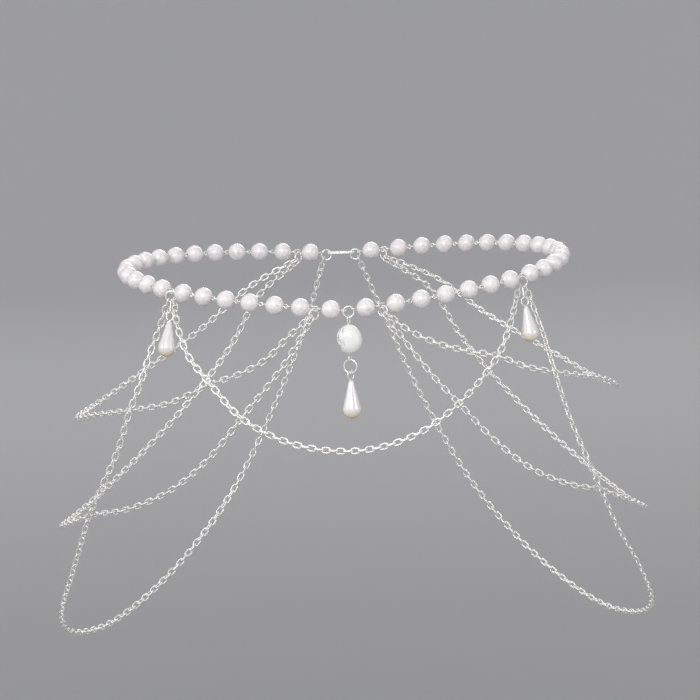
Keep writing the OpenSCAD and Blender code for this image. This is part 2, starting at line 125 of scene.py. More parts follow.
# Routes of the chains from ring to ring. Each row is a point on the
# drape: angle round it from the front in degrees, depth below the string as a
# share of DRAPE_DROP, distance out from the drape in link widths.
LOW = 0.56
OVER = 1.6
SWAG_ROUTE = [
    (-44.5, 0.085, 1.55), (-38.5, 0.165, OVER), (-31.5, 0.23, OVER), (-23.2, 0.315, OVER),
    (-14.5, 0.37, 0.9), (-4, 0.394, LOW), (4, 0.394, LOW), (14.2, 0.366, 0.9),
    (23.8, 0.298, OVER), (30.2, 0.242, OVER), (36.4, 0.182, OVER), (42, 0.112, 1.55),
]
UPPER_ROUTE = {
    RIGHT: [
        (13.8, 0.066, 1.1), (20.5, 0.121, 0.8), (28, 0.161, LOW), (36.6, 0.195, LOW),
        (43, 0.236, LOW), (51, 0.269, LOW), (60, 0.298, LOW), (72, 0.333, LOW),
        (90, 0.39, LOW), (108, 0.4, LOW), (127, 0.33, LOW), (144, 0.215, LOW),
        (155, 0.105, 0.9),
    ],
    LEFT: [
        (-14, 0.083, 1.1), (-19, 0.15, 0.8), (-25, 0.197, LOW), (-32, 0.234, LOW),
        (-42.5, 0.302, LOW), (-52.8, 0.335, LOW), (-68, 0.374, LOW), (-89, 0.423, LOW),
        (-108, 0.42, LOW), (-127, 0.345, LOW), (-144, 0.22, LOW), (-155, 0.105, 0.9),
    ],
}
LOWER_ROUTE = {
    RIGHT: [
        (12.2, 0.075, 1.1), (15.4, 0.138, 0.7), (19.8, 0.226, LOW), (24, 0.3, LOW),
        (30.2, 0.41, LOW), (38.2, 0.514, LOW), (48.8, 0.588, LOW), (56.6, 0.618, LOW),
        (66, 0.664, LOW), (88, 0.744, LOW), (106, 0.755, LOW), (124, 0.67, LOW),
        (140, 0.5, LOW), (152, 0.29, LOW), (158, 0.13, 0.9),
    ],
    LEFT: [
        (-11, 0.083, 1.1), (-14.6, 0.16, 0.7), (-18.5, 0.231, LOW), (-23.4, 0.317, LOW),
        (-30, 0.437, LOW), (-38.8, 0.541, LOW), (-50.7, 0.614, LOW), (-61.5, 0.647, LOW),
        (-72, 0.688, LOW), (-87, 0.734, LOW), (-106, 0.74, LOW), (-124, 0.655, LOW),
        (-140, 0.49, LOW), (-152, 0.285, LOW), (-158, 0.13, 0.9),
    ],
}
LONG_ROUTE = {
    RIGHT: [
        (53.4, 0.1, 0.5), (53, 0.17, 0.5), (50.6, 0.25, OVER), (50.5, 0.29, OVER),
        (51.3, 0.39, 1.3), (53.6, 0.53, OVER), (56, 0.618, OVER), (61.5, 0.744, 1),
        (70.4, 0.86, LOW), (82, 0.985, LOW), (100, 1.08, LOW), (120, 1.1, LOW),
        (138, 0.99, LOW), (153, 0.77, LOW), (164, 0.46, LOW), (171, 0.19, 0.9),
    ],
    LEFT: [
        (-52, 0.1, 0.5), (-52.5, 0.17, 0.5), (-51.6, 0.25, 1.3), (-52.5, 0.333, OVER),
        (-54.6, 0.455, 1.3), (-57.6, 0.556, OVER), (-61.3, 0.645, OVER), (-65, 0.73, 1.1),
        (-71, 0.83, LOW), (-82, 0.965, LOW), (-100, 1.075, LOW), (-120, 1.1, LOW),
        (-138, 0.99, LOW), (-153, 0.77, LOW), (-164, 0.46, LOW), (-171, 0.19, 0.9),
    ],
}

# Where chains and drops hold their rings: degrees from the ring's lowest point
# towards its outer side
FRONT_UPPER_SEAT = 62
FRONT_LOWER_SEAT = 28
SIDE_SWAG_SEAT = -38
SIDE_LONG_SEAT = 38
BACK_UPPER_SEAT = -62
BACK_LOWER_SEAT = -28
END_SEAT = -40


# Camera: the photo's view, from a long lens

PHOTO_SIZE = 700
CAMERA_DISTANCE = 2.0
CAMERA_ELEVATION = 5
CAMERA_ROLL = 2.2
FOCAL_PIXELS = 3800
SENSOR_WIDTH = 36
CAMERA_CLIP = (0.1, 50)
AIM_POINT = Vector((0, -95 * MM, 0))
AIM_PIXEL = (345.5, 310.6)


def make_camera():
    tilt = math.radians(CAMERA_ELEVATION)
    roll = math.radians(CAMERA_ROLL)
    ahead = Vector((0, math.cos(tilt), -math.sin(tilt)))
    right = Vector((1, 0, 0))
    up = right.cross(ahead)
    # Pixels from the aim point to the middle of the picture, before the roll
    x = PHOTO_SIZE / 2 - AIM_PIXEL[0]
    y = AIM_PIXEL[1] - PHOTO_SIZE / 2
    u = x * math.cos(roll) + y * math.sin(roll)
    v = y * math.cos(roll) - x * math.sin(roll)
    view = (ahead * FOCAL_PIXELS + right * u + up * v).normalized()
    side = view.cross(up).normalized()
    top = side.cross(view)
    side_rolled = side * math.cos(roll) - top * math.sin(roll)
    top_rolled = side_rolled.cross(view)
    turn = Matrix((side_rolled, top_rolled, -view)).transposed()
    data = bpy.data.cameras.new("camera")
    data.sensor_width = SENSOR_WIDTH
    data.lens = FOCAL_PIXELS / PHOTO_SIZE * SENSOR_WIDTH
    data.clip_start, data.clip_end = CAMERA_CLIP
    camera = bpy.data.objects.new("camera", data)
    camera.matrix_world = Matrix.Translation(AIM_POINT - ahead * CAMERA_DISTANCE) @ turn.to_4x4()
    bpy.context.scene.collection.objects.link(camera)
    bpy.context.scene.camera = camera


make_camera()


# Small vector helpers

def unit(v):
    return v / np.linalg.norm(v)


def flat(v):
    return unit(np.array([v[0], v[1], 0.0]))


def mix(a, b, t):
    return a + (b - a) * t


def smooth(t):
    c = min(max(t, 0.0), 1.0)
    return c * c * (3 - 2 * c)


def turned(v, degrees):
    a = math.radians(degrees)
    return np.array([
        v[0] * math.cos(a) - v[1] * math.sin(a), v[0] * math.sin(a) + v[1] * math.cos(a), v[2],
    ])


def placed(origin, x, y):
    """4x4 matrix of the right-handed frame at origin that keeps x and squares y up to it."""
    X = unit(x)
    Z = unit(np.cross(X, y))
    m = np.eye(4)
    m[:3, 0], m[:3, 1], m[:3, 2], m[:3, 3] = X, np.cross(Z, X), Z, origin
    return m


# Reach of each kind of loop from its pearl's centre to the joint

RING_R = (RING_D - RING_WIRE) / 2
RING_CROSS = math.sqrt(RING_R ** 2 - RING_DROP ** 2)
RING_SLANT = RING_R / RING_CROSS
PEARL_FACE = PEARL_D / 2 + BEAD_GAP
LOOP_HOLD = (PIN_WIRE + LINK_GAP) / 2
REACH_LOOP = PEARL_FACE + LOOP_D - PIN_WIRE / 2 - LOOP_HOLD
REACH_HOOK = PEARL_FACE + HOOK_LOOP_L - PIN_WIRE / 2 - LOOP_HOLD
REACH_RING = (PEARL_FACE + RING_LOOP_L - PIN_WIRE / 2
              - ((RING_WIRE + PIN_WIRE) / 2 + RING_GAP) * RING_SLANT)
HOOK_SEAT = PEARL_FACE + PIN_WIRE + (HOOK_LOOP_L - 3 * PIN_WIRE - LINK_GAP) / 2

SIDE_PEARLS = FRONT_PEARLS + BACK_PEARLS + 2
FRONT_HOOK = 2
SIDE_HOOK = FRONT_HOOK + FRONT_PEARLS
BACK_HOOK = SIDE_PEARLS
HOOKS = (FRONT_HOOK, SIDE_HOOK, BACK_HOOK)


def reach_in(k):
    return REACH_RING if k == 1 else REACH_HOOK if k in HOOKS else REACH_LOOP


def reach_out(k):
    return REACH_RING if k == SIDE_PEARLS else REACH_LOOP


JOINT_AT = [RING_CROSS]
for k in range(1, SIDE_PEARLS + 1):
    JOINT_AT.append(JOINT_AT[-1] + reach_in(k) + reach_out(k))
HALF_LENGTH = (JOINT_AT[-1] + 2 * RING_CROSS
               - ((RING_WIRE + CLASP_WIRE) / 2 + RING_GAP) * RING_SLANT
               + (CLASP_L - CLASP_WIRE) / 2)


# The string's closed curve, and the drape below it that the chains lie on

def unit_string(degrees):
    a = math.radians(degrees)
    return np.array([
        math.sin(a), -DEPTH_SHARE * math.cos(a),
        TILT_SHARE * (1 - math.cos(a)) + BOW_SHARE * abs(math.sin(a)),
    ])


ANGLE_STEP = 2
STRING_ANGLES = np.arange(0, 180 + ANGLE_STEP, ANGLE_STEP)
STRING_RUN = np.concatenate([[0], np.cumsum([
    np.linalg.norm(unit_string(a + ANGLE_STEP) - unit_string(a)) for a in STRING_ANGLES[:-1]])])
STRING_W = HALF_LENGTH / STRING_RUN[-1]
DRAPE_INSET = PEARL_D / 2 + DRAPE_GAP


def angle_at(s):
    if s < 0:
        return -angle_at(-s)
    if s > HALF_LENGTH:
        return 360 - angle_at(2 * HALF_LENGTH - s)
    return np.interp(s / STRING_W, STRING_RUN, STRING_ANGLES)


def string_point(s):
    return STRING_W * unit_string(angle_at(s + STRING_SLIP))


def outward(p):
    return unit(np.array([p[0], p[1] / DEPTH_SHARE ** 2, 0.0]))


def drape_point(row):
    angle, depth, lift = row
    flare = 1 - (1 - min(max(depth, 0), 1)) ** FLARE_POWER
    a = math.radians(angle)
    w = STRING_W - DRAPE_INSET + SIDE_FLARE * flare
    mid_flare = (FRONT_FLARE + BACK_FLARE) / 2
    d = STRING_W * DEPTH_SHARE - DRAPE_INSET + flare * mix(mid_flare, FRONT_FLARE, math.cos(a))
    z = STRING_W * unit_string(angle)[2] - depth * DRAPE_DROP
    out = unit(np.array([math.sin(a) / w, -math.cos(a) / d, 0.0]))
    return np.array([w * math.sin(a), -d * math.cos(a), z]) + out * lift * LINK_W


# Places of the pearls and rings

def joint(side, k):
    return string_point(side * JOINT_AT[k])


def pearl_axis(side, k):
    return unit(joint(side, k) - joint(side, k - 1))


def pearl_center(side, k):
    return joint(side, k - 1) + reach_in(k) * pearl_axis(side, k)


class Ring:
    """A jump ring in an upright plane. across is its level direction to the outer side."""

    def __init__(self, center, across, diameter=RING_D):
        self.center, self.across, self.diameter = center, across, diameter
        self.radius = (diameter - RING_WIRE) / 2

    def seat(self, degrees):
        """Middle of the wire, at an angle from the lowest point towards the outer side."""
        a = math.radians(degrees)
        return self.center + self.radius * (math.sin(a) * self.across - math.cos(a) * UP)

    def along(self, degrees):
        """Direction of the wire at the same place."""
        a = math.radians(degrees)
        return math.cos(a) * self.across + math.sin(a) * UP


def ring_between(a, b):
    """A ring that joins the loops at two points of the string."""
    return Ring((a + b) / 2 - RING_DROP * UP, flat(b - a))


def ring_on_hook(side, k):
    """A ring that hangs in the long inner loop of a pearl's pin."""
    a = pearl_axis(side, k)
    seat = pearl_center(side, k) - HOOK_SEAT * a
    sink = (HOOK_LOOP_H - 2 * PIN_WIRE - RING_WIRE) / 2 - RING_GAP
    return Ring(seat - (RING_R + sink) * UP, turned(flat(a), -side * RING_TURN))


def end_ring(side):
    return ring_between(joint(side, SIDE_PEARLS),
                        string_point(side * (JOINT_AT[SIDE_PEARLS] + 2 * RING_CROSS)))


CENTER_RING = ring_between(string_point(-RING_CROSS), string_point(RING_CROSS))
FRONT_RING = {side: ring_on_hook(side, FRONT_HOOK) for side in (LEFT, RIGHT)}
SIDE_RING = {side: ring_on_hook(side, SIDE_HOOK) for side in (LEFT, RIGHT)}
BACK_RING = {side: ring_on_hook(side, BACK_HOOK) for side in (LEFT, RIGHT)}
END_RING = {side: end_ring(side) for side in (LEFT, RIGHT)}


# Smooth curves through the route points

ROUTE_STEP = 1 * MM


def slopes_through(points, spans):
    """Direction of the curve at each point: the span's own at both ends, and in between a
    blend of the two spans that meet, where the shorter one weighs more."""
    slopes = [unit(points[1] - points[0])]
    for a, b, c, before, after in zip(points, points[1:], points[2:], spans, spans[1:]):
        slopes.append((after * (b - a) / before + before * (c - b) / after) / (before + after))
    return [*slopes, unit(points[-1] - points[-2])]


class Run:
    """A smooth curve through points, read by the distance along it."""

    def __init__(self, points):
        spans = [np.linalg.norm(b - a) for a, b in zip(points, points[1:])]
        slopes = slopes_through(points, spans)
        out = []
        for i, h in enumerate(spans):
            n = math.ceil(h / ROUTE_STEP)
            for u in np.arange(n) / n:
                v = 1 - u
                out.append((1 + 2 * u) * v * v * points[i] + u * u * (3 - 2 * u) * points[i + 1]
                           + h * u * v * (v * slopes[i] - u * slopes[i + 1]))
        out.append(points[-1])
        self.points = np.array(out)
        steps = np.linalg.norm(np.diff(self.points, axis=0), axis=1)
        self.distance = np.concatenate([[0], np.cumsum(steps)])
        self.length = self.distance[-1]

    def at(self, s):
        return np.array([np.interp(s, self.distance, self.points[:, c]) for c in range(3)])

    def direction(self, s):
        return unit(self.at(s + ROUTE_STEP) - self.at(s - ROUTE_STEP))


# Mesh building

def new_piece(name, verts, faces, material, body, slot, replaces):
    """One mesh object that rides on a body and stands for the named nodes."""
    mesh = bpy.data.meshes.new(name)
    mesh.from_pydata(verts.tolist(), [], faces)
    mesh.validate()
    mesh.shade_smooth()
    piece = bpy.data.objects.new(name, mesh)
    bpy.context.scene.collection.objects.link(piece)
    mesh.materials.append(material)
    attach(piece, body)
    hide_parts(*replaces)


def moved(verts, matrix):
    return verts @ matrix[:3, :3].T + matrix[:3, 3]


def joined(parts):
    """Several (verts, faces) as one."""
    verts, faces, start = [], [], 0
    for v, f in parts:
        verts.append(v)
        faces.extend([[i + start for i in face] for face in f])
        start += len(v)
    return np.vstack(verts), faces


def sweep(path, radii, sides, closed=False):
    """Round wire along a path, its section carried along with the least twist."""
    n = len(path)
    radii = np.broadcast_to(radii, (n,))
    ahead = np.roll(path, -1, axis=0) - np.roll(path, 1, axis=0)
    if not closed:
        ahead[0], ahead[-1] = path[1] - path[0], path[-1] - path[-2]
    ahead = ahead / np.linalg.norm(ahead, axis=1)[:, None]
    plane_normal = np.linalg.svd(path - path.mean(0))[2][-1]
    normal = unit(plane_normal - ahead[0] * (plane_normal @ ahead[0]))
    verts = []
    angles = np.arange(sides) * 2 * math.pi / sides
    for i in range(n):
        normal = unit(normal - ahead[i] * (normal @ ahead[i]))
        across = np.cross(ahead[i], normal)
        ring = np.outer(np.cos(angles), normal) + np.outer(np.sin(angles), across)
        verts.append(path[i] + radii[i] * ring)
    faces = []
    for i in range(n if closed else n - 1):
        a, b = i * sides, (i + 1) % n * sides
        for j in range(sides):
            k = (j + 1) % sides
            faces.append([a + j, a + k, b + k, b + j])
    if not closed:
        faces.append(list(range(sides))[::-1])
        faces.append([(n - 1) * sides + j for j in range(sides)])
    return np.vstack(verts), faces


def lathe(outline, segments):
    """Closed body turned about Z from (radius, height) points. Ends at radius 0 are poles."""
    verts, faces, rows = [], [], []
    for r, z in outline:
        if r == 0:
            rows.append([len(verts)] * segments)
            verts.append((0, 0, z))
        else:
            rows.append(list(range(len(verts), len(verts) + segments)))
            for j in range(segments):
                a = 2 * math.pi * j / segments
                verts.append((r * math.cos(a), r * math.sin(a), z))
    for low, high in zip(rows, rows[1:]):
        for j in range(segments):
            k = (j + 1) % segments
            face = [low[j], low[k], high[k], high[j]]
            if low[j] == low[k]:
                face = [low[j], high[k], high[j]]
            elif high[j] == high[k]:
                face = [low[j], low[k], high[j]]
            faces.append(face)
    return np.array(verts), faces


def oval_path(length, width, wire, points):
    """Closed middle line of a straight-sided loop, length along X and width along Z."""
    bend = (width - wire) / 2
    half = (length - width) / 2
    straight, curve = 2 * half, math.pi * bend
    total = 2 * (straight + curve)
    out = []
    for s in np.arange(points) / points * total:
        # Starts in the middle of the far end and goes round through +Z
        s = (s + curve / 2) % total
        if s < curve:
            a = s / bend - math.pi / 2
            out.append((half + bend * math.cos(a), 0, bend * math.sin(a)))
        elif s < curve + straight:
            out.append((half - (s - curve), 0, bend))
        elif s < 2 * curve + straight:
            a = (s - curve - straight) / bend + math.pi / 2
            out.append((-half + bend * math.cos(a), 0, bend * math.sin(a)))
        else:
            out.append((-half + (s - 2 * curve - straight), 0, -bend))
    return np.array(out)


# Shader helpers

def new_material(name):
    material = bpy.data.materials.new(name)
    material.use_nodes = True
    tree = material.node_tree
    return material, tree, tree.nodes["Principled BSDF"]


def node(tree, kind, **inputs):
    made = tree.nodes.new(kind)
    for name, value in inputs.items():
        made.inputs[name.replace("_", " ")].default_value = value
    return made


def ramp(tree, factor, stops):
    """Colour ramp fed by a socket. stops are (place, (r, g, b))."""
    made = tree.nodes.new("ShaderNodeValToRGB")
    while len(made.color_ramp.elements) < len(stops):
        made.color_ramp.elements.new(0.5)
    for element, (place, color) in zip(made.color_ramp.elements, stops):
        element.position = place
        element.color = (*color, 1)
    tree.links.new(factor, made.inputs["Fac"])
    return made.outputs["Color"]


def noise(tree, scale, detail, roughness=0.55, distortion=0.0):
    place = tree.nodes.new("ShaderNodeTexCoord")
    made = node(tree, "ShaderNodeTexNoise", Scale=scale, Detail=detail, Roughness=roughness,
                Distortion=distortion)
    tree.links.new(place.outputs["Object"], made.inputs["Vector"])
    return made.outputs["Fac"]


def spread(tree, factor, low, high, from_low=0.3, from_high=0.7):
    """Maps a noise value to a range."""
    made = tree.nodes.new("ShaderNodeMapRange")
    for socket, value in zip(("From Min", "From Max", "To Min", "To Max"),
                             (from_low, from_high, low, high)):
        made.inputs[socket].default_value = value
    tree.links.new(factor, made.inputs["Value"])
    return made.outputs["Result"]


# Sockets of the Mix node when it mixes colours
MIX_FACTOR, MIX_A, MIX_B, MIX_RESULT = 0, 6, 7, 2


def mixed(tree, factor, a, b, mode="MIX"):
    made = tree.nodes.new("ShaderNodeMix")
    made.data_type = "RGBA"
    made.blend_type = mode
    for place, value in ((MIX_FACTOR, factor), (MIX_A, a), (MIX_B, b)):
        if isinstance(value, bpy.types.NodeSocket):
            tree.links.new(value, made.inputs[place])
        else:
            made.inputs[place].default_value = value
    return made.outputs[MIX_RESULT]


def bumped(tree, shader, height, strength, distance):
    made = node(tree, "ShaderNodeBump", Strength=strength, Distance=distance)
    tree.links.new(height, made.inputs["Height"])
    tree.links.new(made.outputs["Normal"], shader.inputs["Normal"])


# Materials

def silver_material():
    """Bright plated wire, a little warm, with soft dull patches."""
    material, tree, shader = new_material("silver")
    color = ramp(tree, noise(tree, 420, 3.0), [
        (0.3, (0.88, 0.86, 0.82)), (0.5, (0.95, 0.94, 0.92)), (0.75, (0.98, 0.975, 0.965))])
    tree.links.new(color, shader.inputs["Base Color"])
    tree.links.new(spread(tree, noise(tree, 700, 3.0), 0.22, 0.34), shader.inputs["Roughness"])
    shader.inputs["Metallic"].default_value = 0.6
    shader.inputs["Specular IOR Level"].default_value = 0.8
    bumped(tree, shader, noise(tree, 1800, 2.0), 0.08, 0.03 * MM)
    return material


def pearl_material():
    """Imitation pearl: white with a faint lilac tint and grey mottling under a clear coat."""
    material, tree, shader = new_material("pearl")
    tint = ramp(tree, noise(tree, 170, 2.0), [
        (0.3, (0.87, 0.85, 0.86)), (0.5, (0.94, 0.91, 0.91)), (0.7, (0.955, 0.895, 0.89))])
    speck = ramp(tree, noise(tree, 520, 6.0, 0.7, 1.2), [
        (0.36, (0.55, 0.54, 0.57)), (0.49, (1, 1, 1)), (1, (1, 1, 1))])
    tree.links.new(mixed(tree, 0.5, tint, speck, "MULTIPLY"), shader.inputs["Base Color"])
    tree.links.new(spread(tree, noise(tree, 700, 3.0), 0.26, 0.42), shader.inputs["Roughness"])
    shader.inputs["Specular IOR Level"].default_value = 0.6
    shader.inputs["Coat Weight"].default_value = 0.6
    shader.inputs["Coat Roughness"].default_value = 0.12
    shader.inputs["Subsurface Weight"].default_value = 0.12
    shader.inputs["Subsurface Radius"].default_value = (1.0, 0.8, 0.8)
    shader.inputs["Subsurface Scale"].default_value = 1 * MM
    bumped(tree, shader, noise(tree, 1300, 3.0), 0.08, 0.04 * MM)
    return material


def drop_material(name, top, bottom):
    """Glossy pearl drop with a painted warm reflection at its lower end, between two heights."""
    material, tree, shader = new_material(name)
    place = tree.nodes.new("ShaderNodeTexCoord")
    split = tree.nodes.new("ShaderNodeSeparateXYZ")
    tree.links.new(place.outputs["Object"], split.inputs["Vector"])
    height = spread(tree, split.outputs["Z"], 0, 1, bottom, top)
    # Painted reflection: golden and cream at the lower end, fading to white above, a little greyer
    # at the top
    warm = ramp(tree, height, [
        (0.0, (0.86, 0.71, 0.38)), (0.09, (0.93, 0.82, 0.56)), (0.22, (0.96, 0.92, 0.88)),
        (0.45, (0.95, 0.93, 0.92)), (1.0, (0.92, 0.91, 0.92))])
    cloud = ramp(tree, noise(tree, 260, 2.0), [(0.3, (0.93, 0.91, 0.92)), (0.7, (1, 1, 1))])
    tree.links.new(mixed(tree, 0.8, warm, cloud, "MULTIPLY"), shader.inputs["Base Color"])
    tree.links.new(spread(tree, noise(tree, 500, 2.0), 0.10, 0.18), shader.inputs["Roughness"])
    shader.inputs["Specular IOR Level"].default_value = 0.8
    shader.inputs["Coat Weight"].default_value = 1.0
    shader.inputs["Coat Roughness"].default_value = 0.04
    shader.inputs["Coat IOR"].default_value = 1.7
    return material


def stone_material():
    """White stone with a satin face and a few grey veins towards one edge."""
    material, tree, shader = new_material("stone")
    body = ramp(tree, noise(tree, 150, 3.0), [
        (0.3, (0.91, 0.91, 0.91)), (0.55, (0.98, 0.975, 0.96))])
    vein = ramp(tree, noise(tree, 120, 6.0, 0.6, 1.6), [
        (0.455, (1, 1, 1)), (0.485, (0.5, 0.5, 0.53)), (0.5, (0.22, 0.22, 0.25)),
        (0.515, (0.5, 0.5, 0.53)), (0.545, (1, 1, 1))])
    place = tree.nodes.new("ShaderNodeTexCoord")
    split = tree.nodes.new("ShaderNodeSeparateXYZ")
    tree.links.new(place.outputs["Object"], split.inputs["Vector"])
    edge = spread(tree, split.outputs["X"], 1, 0, -3 * MM, 0.5 * MM)
    tree.links.new(mixed(tree, edge, body, mixed(tree, 1.0, body, vein, "MULTIPLY")),
                   shader.inputs["Base Color"])
    tree.links.new(spread(tree, noise(tree, 400, 3.0), 0.2, 0.34), shader.inputs["Roughness"])
    shader.inputs["Specular IOR Level"].default_value = 0.55
    shader.inputs["Coat Weight"].default_value = 0.35
    shader.inputs["Coat Roughness"].default_value = 0.12
    shader.inputs["Subsurface Weight"].default_value = 0.15
    shader.inputs["Subsurface Radius"].default_value = (1.0, 0.9, 0.85)
    shader.inputs["Subsurface Scale"].default_value = 1.5 * MM
    bumped(tree, shader, noise(tree, 350, 3.0), 0.2, 0.15 * MM)
    return material


SILVER = silver_material()
PEARL = pearl_material()
STONE = stone_material()


# Wire parts

WIRE_SIDES = 10
RING_SIDES = 12
RING_POINTS = 49
RING_CUT = 0.05 * MM
LOOP_POINTS = 40
SHANK_POINTS = 5
PEARL_SEGMENTS = 40
PEARL_ROWS = 25
BORE_ROWS = 3


def open_loop(length, width, wire, mouth=2):
    """A wire that comes in along +X at the origin and bends round into an almost closed loop,
    length along X and width along Z. Returns the middle line from the base on. The mouth is
    left open by that many of its points at the base and half as many at the end."""
    path = oval_path(length, width, wire, LOOP_POINTS)
    path[:, 0] += length / 2
    path = np.roll(path, -np.argmin(path[:, 0]), axis=0)
    return path[mouth:LOOP_POINTS - mouth // 2 - 1]


def rolled(degrees):
    m = np.eye(4)
    m[:3, :3] = np.array(Matrix.Rotation(math.radians(degrees), 3, "X"))
    return m


def pin(left_loop, right_loop, half_shank, wire):
    """Both loops of a pin and the shank between them, along X. A loop is (length, width, roll)."""
    right = open_loop(right_loop[0], right_loop[1], wire)
    right = moved(right, rolled(right_loop[2])) + (half_shank, 0, 0)
    left = open_loop(left_loop[0], left_loop[1], wire) * (-1, 1, 1)
    left = moved(left, rolled(left_loop[2])) - (half_shank, 0, 0)
    shank = [(x, 0, 0) for x in np.linspace(-half_shank + wire, half_shank - wire, SHANK_POINTS)]
    path = np.vstack([left[::-1], shank, right])
    return sweep(path, wire / 2, WIRE_SIDES)


def pearl_body():
    """A round pearl, drilled along X."""
    bore, r = PEARL_BORE / 2, PEARL_D / 2
    lip = math.asin(bore / r)
    outside = [(r * math.sin(a), -r * math.cos(a))
               for a in np.linspace(lip, math.pi - lip, PEARL_ROWS)]
    heights = np.linspace(outside[-1][1], outside[0][1], BORE_ROWS + 2)
    inside = [(bore, z) for z in heights[1:-1]]
    verts, faces = lathe([*outside, *inside, outside[0]], PEARL_SEGMENTS)
    return verts[:, [2, 0, 1]], faces


def make_pearls():
    verts, faces = pearl_body()
    parts = []
    for side in (LEFT, RIGHT):
        for k in range(1, SIDE_PEARLS + 1):
            x = pearl_axis(side, k)
            parts.append((moved(verts, placed(pearl_center(side, k), x, np.cross(UP, x))), faces))
    new_piece("pearl_beads", *joined(parts), PEARL, "root", "pearl", ["pearls"])


RING_LOOP = (RING_LOOP_L, RING_LOOP_W, 90 - RING_LOOP_ROLL)


def make_pins():
    parts = []
    for side in (LEFT, RIGHT):
        for k in range(1, SIDE_PEARLS + 1):
            x = pearl_axis(side, k)
            if k == 1:
                inner = RING_LOOP
            elif k in HOOKS:
                inner = (HOOK_LOOP_L, HOOK_LOOP_H, 0)
            else:
                inner = (LOOP_D, LOOP_D, 0)
            outer = RING_LOOP if k == SIDE_PEARLS else (LOOP_D, LOOP_D, 90)
            verts, faces = pin(inner, outer, PEARL_FACE, PIN_WIRE)
            parts.append((moved(verts, placed(pearl_center(side, k), x, np.cross(UP, x))), faces))
    new_piece("bead_pins", *joined(parts), SILVER, "root", "silver", ["eye_pins"])


def ring_wire(diameter, cut_at):
    """A jump ring in the XZ plane with a fine cut at an angle from +X."""
    r = (diameter - RING_WIRE) / 2
    cut = RING_CUT / r
    start = math.radians(cut_at)
    angles = np.linspace(start + cut, start + 2 * math.pi - cut, RING_POINTS)
    path = np.array([(r * math.cos(a), 0, r * math.sin(a)) for a in angles])
    return sweep(path, RING_WIRE / 2, RING_SIDES)


def make_ring(name, ring, cut_at):
    verts, faces = ring_wire(ring.diameter, cut_at)
    verts = moved(verts, placed(ring.center, ring.across, np.cross(UP, ring.across)))
    new_piece("jump_" + name, verts, faces, SILVER, "root", "silver", [name])


# Where each ring is cut, in degrees from its level direction
CENTER_RING_CUT = 75
DROP_RING_CUT = 200
SIDE_RINGS = [("front_ring_", FRONT_RING, 160), ("side_ring_", SIDE_RING, 20),
              ("back_ring_", BACK_RING, 10), ("end_ring_", END_RING, 100)]


def make_rings():
    make_ring("center_ring", CENTER_RING, CENTER_RING_CUT)
    for side, name in SIDE_NAMES.items():
        for kind, rings, cut_at in SIDE_RINGS:
            make_ring(kind + name, rings[side], cut_at)


# Chains of interlocking links

LINK_HALF = (LINK_L - LINK_WIRE) / 2
LINK_START = LINK_HALF - (RING_WIRE + LINK_WIRE) / 2 - RING_GAP
LINK_PITCH_MAX = LINK_L - 2 * LINK_WIRE - LINK_GAP
# Length at each end of a chain over which its links turn square to the ring
TURN_LENGTH = 16 * MM
LINK_POINTS = 28
SIDE_LINK_POINTS = 32
SEAM_DEPTH = 0.12
SEAM_HALF = 0.06 * MM
# The slow twist: a new angle in degrees, up to the most, every so many links
TWIST_LINKS = 9
TWIST_MOST = 14
# The links' faces turn a little towards the front and the back, so out is narrowed in X
LAY = (0.4, 1, 1)
# Turn from one link to the next: a quarter at the rings, less where the chain lies slack
SLACK_TURN = 68
# The links as seen, a little bolder than the solids that they stand for
BOLD_L = 5.7 * MM
BOLD_W = 3.75 * MM
BOLD_WIRE = 0.9 * MM


def link_body():
    """One link in the XZ plane with the fine seam of its closed joint on one long side."""
    path = oval_path(BOLD_L, BOLD_W, BOLD_WIRE, LINK_POINTS)
    # The point in the middle of the lower side becomes three, and the wire dips at the second
    seam = np.argmin(np.abs(path[:, 0]) + (path[:, 2] > 0))
    beside = np.array([SEAM_HALF, 0, 0])
    path = np.insert(path, [seam, seam + 1], [path[seam] - beside, path[seam] + beside], axis=0)
    radii = np.full(len(path), BOLD_WIRE / 2)
    radii[seam + 1] *= 1 - SEAM_DEPTH
    return sweep(path, radii, WIRE_SIDES, closed=True)


LINK = link_body()


def facing(v, way):
    """v or its opposite, whichever points more along way."""
    return v * math.copysign(1, v @ way)


def make_chain(name, ring_a, seat_a, rows, ring_b, seat_b, replaces, seed):
    """A chain from ring to ring. Links lie and stand by turns, and the chain has a slow twist
    drawn from the seed. The first and the last link stand square to their rings."""
    run = Run([ring_a.seat(seat_a), *[drape_point(r) for r in rows], ring_b.seat(seat_b)])
    steps = math.ceil((run.length - 2 * LINK_START) / LINK_PITCH_MAX)
    draw = random.Random(seed)
    knots = [draw.uniform(-TWIST_MOST, TWIST_MOST) for _ in range(steps // TWIST_LINKS + 3)]
    parts = []
    for i in range(steps + 1):
        s = LINK_START + i * (run.length - 2 * LINK_START) / steps
        t = run.direction(s)
        across = unit(np.cross(outward(run.at(s)) * LAY, t))
        first = ring_a.along(seat_a)
        last = ring_b.along(seat_b)
        if steps % 2:
            last = np.cross(last, t)
        past_start = smooth(s / TURN_LENGTH)
        before_end = smooth((run.length - s) / TURN_LENGTH)
        n = mix(facing(first, across), across, past_start)
        n = mix(n, facing(last, across), 1 - before_end)
        n = unit(n - t * (n @ t))
        slack = min(past_start, before_end)
        knot, part = divmod(i, TWIST_LINKS)
        twist = math.radians(mix(knots[knot], knots[knot + 1], smooth(part / TWIST_LINKS))) * slack
        if i % 2:
            twist += math.radians(mix(90, SLACK_TURN, slack))
        n = math.cos(twist) * n + math.sin(twist) * np.cross(t, n)
        parts.append((moved(LINK[0], placed(run.at(s), t, n)), LINK[1]))
    new_piece(name, *joined(parts), SILVER, "root", "silver", replaces)


